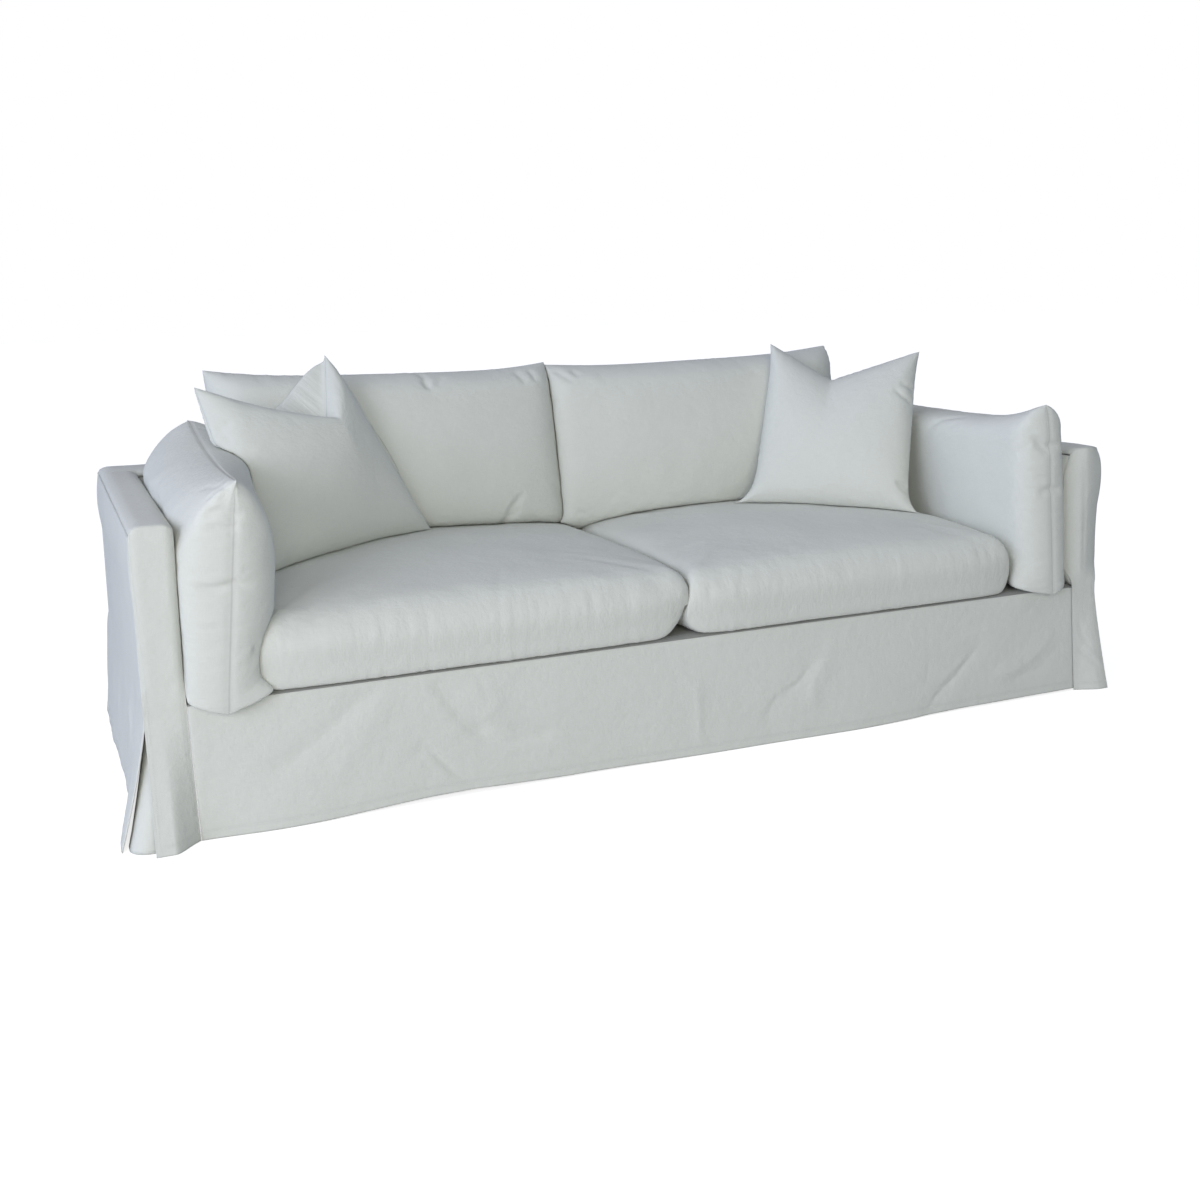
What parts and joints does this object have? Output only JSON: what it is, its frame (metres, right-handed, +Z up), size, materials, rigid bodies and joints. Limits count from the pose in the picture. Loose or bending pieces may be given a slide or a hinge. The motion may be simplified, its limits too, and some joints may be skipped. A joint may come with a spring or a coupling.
{
  "type": "sofa slipcover",
  "caption": "Loose linen slipcover for a long sofa, with a skirt to the floor, slit pleated corners, and covered seat, back, arm and scatter cushions.",
  "frame": {"origin": "middle of the cover's footprint, on the floor", "axes": "+X along the sofa, to the right of someone who looks at its front; +Y from the front to the back; +Z up"},
  "size_m": [2.5256, 1.2025, 0.9516],
  "materials": {
    "deck": "plain woven linen, matte",
    "front_skirt": "plain woven linen, matte",
    "outside_back": "plain woven linen, matte",
    "inside_back": "plain woven linen, matte",
    "back_top": "plain woven linen, matte",
    "arm_front_left": "plain woven linen, matte",
    "arm_top_left": "plain woven linen, matte",
    "inside_arm_left": "plain woven linen, matte",
    "outside_arm_left": "plain woven linen, matte",
    "pleat_front_left": "plain woven linen, matte",
    "pleat_rear_left": "plain woven linen, matte",
    "arm_front_right": "plain woven linen, matte",
    "arm_top_right": "plain woven linen, matte",
    "inside_arm_right": "plain woven linen, matte",
    "outside_arm_right": "plain woven linen, matte",
    "pleat_front_right": "plain woven linen, matte",
    "pleat_rear_right": "plain woven linen, matte",
    "seat_cushion_left": "plain woven linen, matte",
    "seat_cushion_right": "plain woven linen, matte",
    "back_cushion_left": "plain woven linen, matte",
    "back_cushion_right": "plain woven linen, matte",
    "arm_cushion_left": "plain woven linen, matte",
    "arm_cushion_right": "plain woven linen, matte",
    "scatter_cushion_left": "plain woven linen, matte",
    "scatter_cushion_right": "plain woven linen, matte"
  },
  "bodies": {
    "root": {"deck": "deck", "front_skirt": "front_skirt", "outside_back": "outside_back", "inside_back": "inside_back", "back_top": "back_top", "arm_front_left": "arm_front_left", "arm_top_left": "arm_top_left", "inside_arm_left": "inside_arm_left", "outside_arm_left": "outside_arm_left", "pleat_front_left": "pleat_front_left", "pleat_rear_left": "pleat_rear_left", "arm_front_right": "arm_front_right", "arm_top_right": "arm_top_right", "inside_arm_right": "inside_arm_right", "outside_arm_right": "outside_arm_right", "pleat_front_right": "pleat_front_right", "pleat_rear_right": "pleat_rear_right", "seat_cushion_left": "seat_cushion_left", "seat_cushion_right": "seat_cushion_right", "back_cushion_left": "back_cushion_left", "back_cushion_right": "back_cushion_right", "arm_cushion_left": "arm_cushion_left", "arm_cushion_right": "arm_cushion_right", "scatter_cushion_left": "scatter_cushion_left", "scatter_cushion_right": "scatter_cushion_right"}
  },
  "joints": []
}
